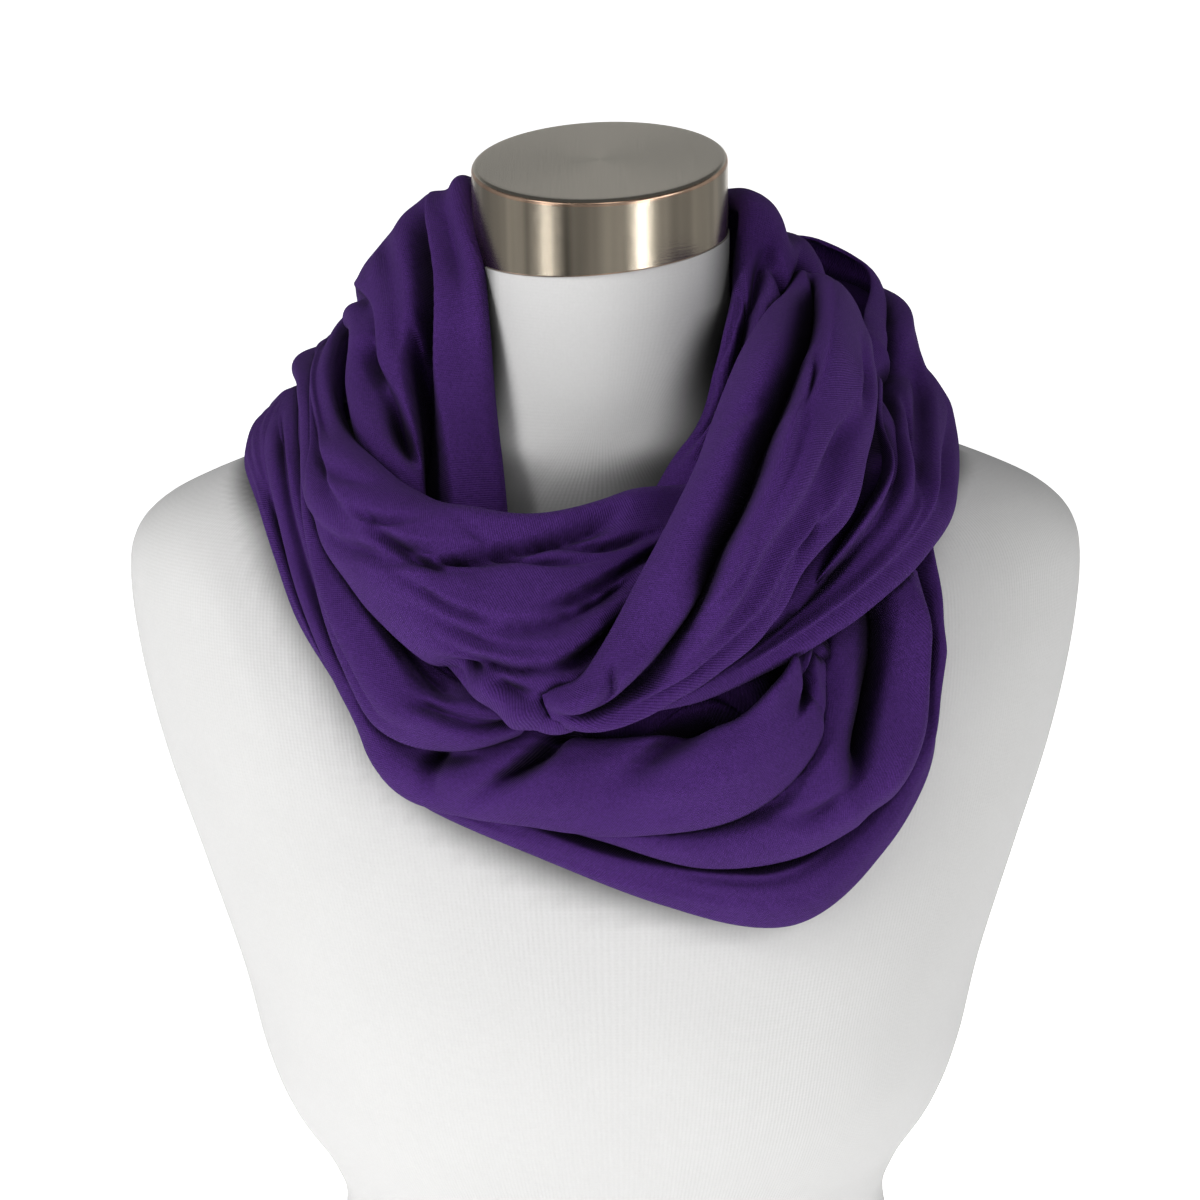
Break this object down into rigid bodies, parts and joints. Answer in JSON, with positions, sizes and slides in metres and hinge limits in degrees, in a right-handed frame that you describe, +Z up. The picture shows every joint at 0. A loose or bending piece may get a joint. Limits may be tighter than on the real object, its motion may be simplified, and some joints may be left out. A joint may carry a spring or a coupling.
{
  "type": "infinity scarf on dress form",
  "caption": "Infinity scarf of fine jersey wound twice and draped on a limbless dress form with a flat metal neck cap.",
  "frame": {"origin": "centre of the dress form's flat base", "axes": "+Z up the form, -Y towards the front, +X to the viewer's right"},
  "size_m": [0.396, 0.293, 0.6715],
  "materials": {
    "scarf_jersey": "soft matte fine-rib jersey knit, purple",
    "form_jersey": "white stretch jersey cover",
    "neck_cap": "brushed nickel"
  },
  "bodies": {
    "root": {"form_torso": "form_jersey", "form_neck_cap": "neck_cap", "cross_band": "scarf_jersey", "front_drape": "scarf_jersey", "shoulder_band": "scarf_jersey", "left_strand": "scarf_jersey", "loop_upper": "scarf_jersey", "loop_middle": "scarf_jersey", "neck_turn": "scarf_jersey", "loop_outer": "scarf_jersey"}
  },
  "joints": []
}
